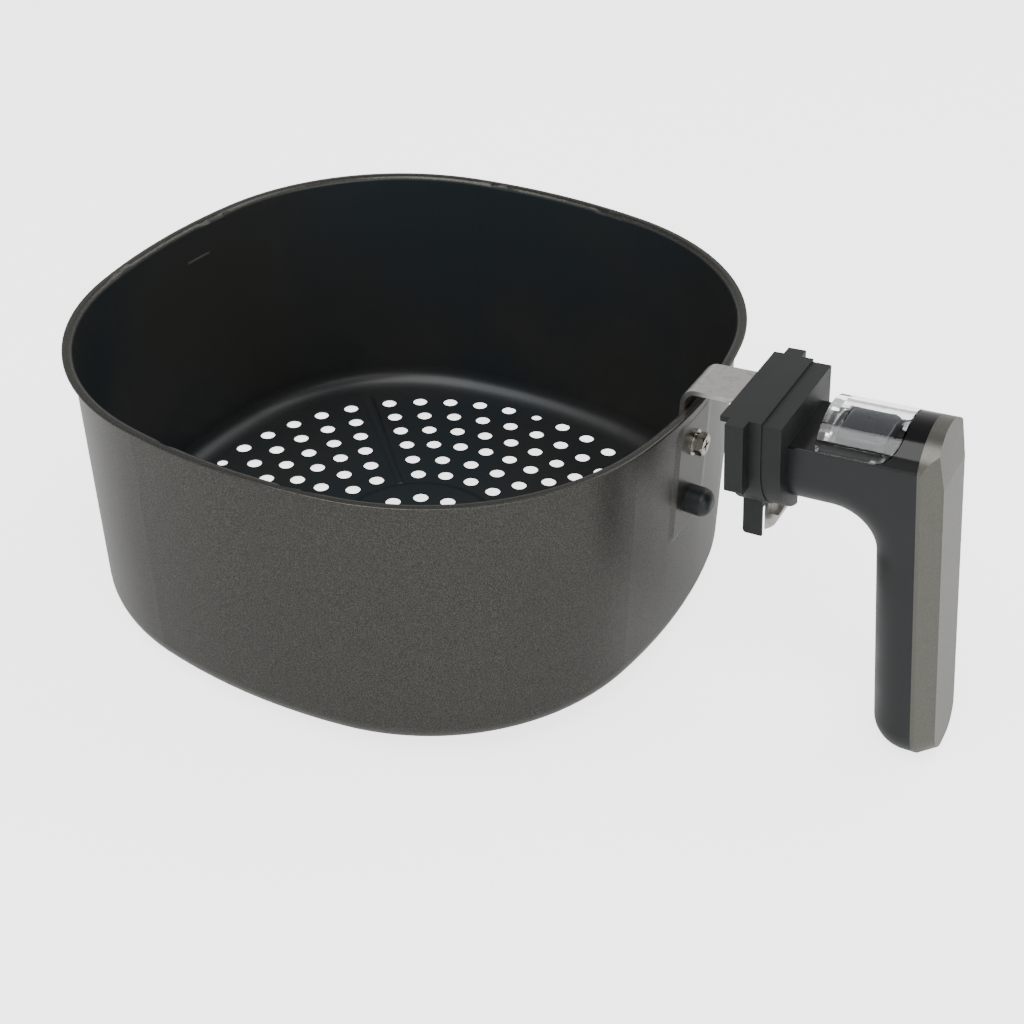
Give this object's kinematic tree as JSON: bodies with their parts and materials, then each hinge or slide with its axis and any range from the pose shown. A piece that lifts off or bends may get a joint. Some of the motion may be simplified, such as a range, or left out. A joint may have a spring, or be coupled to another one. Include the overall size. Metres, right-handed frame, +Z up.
{
  "type": "air fryer basket",
  "caption": "Coated air-fryer basket with a pierced floor, held by a rim bracket to a drawer handle with a clear sliding guard over the sprung button that rocks the latch hook.",
  "frame": {"origin": "centre of the basket's flat underside", "axes": "+Z up through the open top, the handle points to -Y, +X to the handle's left side as seen from the basket looking along -Y"},
  "size_m": [0.2202, 0.3148, 0.1207],
  "materials": {
    "shell_coat": "non-stick coating, satin with a fine sparkle outside",
    "bright_steel": "scuffed mill finish",
    "plated_steel": "bright plated",
    "spring_steel": "bright wire",
    "rubber": "satin rubber",
    "block_plastic": "moulded, satin",
    "handle_plastic": "fine satin",
    "gloss_black": "high gloss",
    "button_plastic": "satin gloss",
    "clear_guard": "clear polycarbonate",
    "cover_paint": "champagne-grey metallic paint"
  },
  "bodies": {
    "basket": {"basket_shell": "shell_coat", "hook_bracket": "bright_steel", "hook_flat_washer": "plated_steel", "hook_lock_washer": "plated_steel", "hook_screw": "plated_steel", "hook_weld_nut": "plated_steel", "bumper": "rubber", "bumper_nut": "plated_steel", "block_front": "block_plastic", "block_back": "block_plastic", "strap_screw_left": "plated_steel", "strap_screw_right": "plated_steel", "arm_screw_left": "plated_steel", "arm_screw_right": "plated_steel", "latch_pin": "bright_steel", "latch_spring": "spring_steel", "handle_body": "handle_plastic", "top_deck": "gloss_black", "button_spring": "spring_steel", "grip_cover": "cover_paint", "cover_screw_upper": "plated_steel", "cover_screw_lower": "plated_steel"},
    "guard": {"slide_guard": "clear_guard"},
    "button": {"release_button": "button_plastic"},
    "latch": {"latch_lever": "bright_steel"}
  },
  "joints": [
    {"name": "guard_slide", "type": "slide", "parent": "basket", "child": "guard", "axis": [0, 0.9962, -0.0866], "range_m": [0, 0.0076]},
    {"name": "button_press", "type": "slide", "parent": "basket", "child": "button", "axis": [0, -0.0866, -0.9962], "range_m": [0, 0.0029], "stiffness_N_per_m": 500, "springref_m": -0.001, "deforming": ["button_spring"]},
    {"name": "latch_rock", "type": "hinge", "parent": "basket", "child": "latch", "pos_m": [0, -0.13811, 0.08499], "axis": [1, 0, 0], "range_deg": [0, 7.8]}
  ],
  "couplings": [
    {"joint": "latch_rock", "follows": "button_press", "rad_per_m": 46.939}
  ]
}
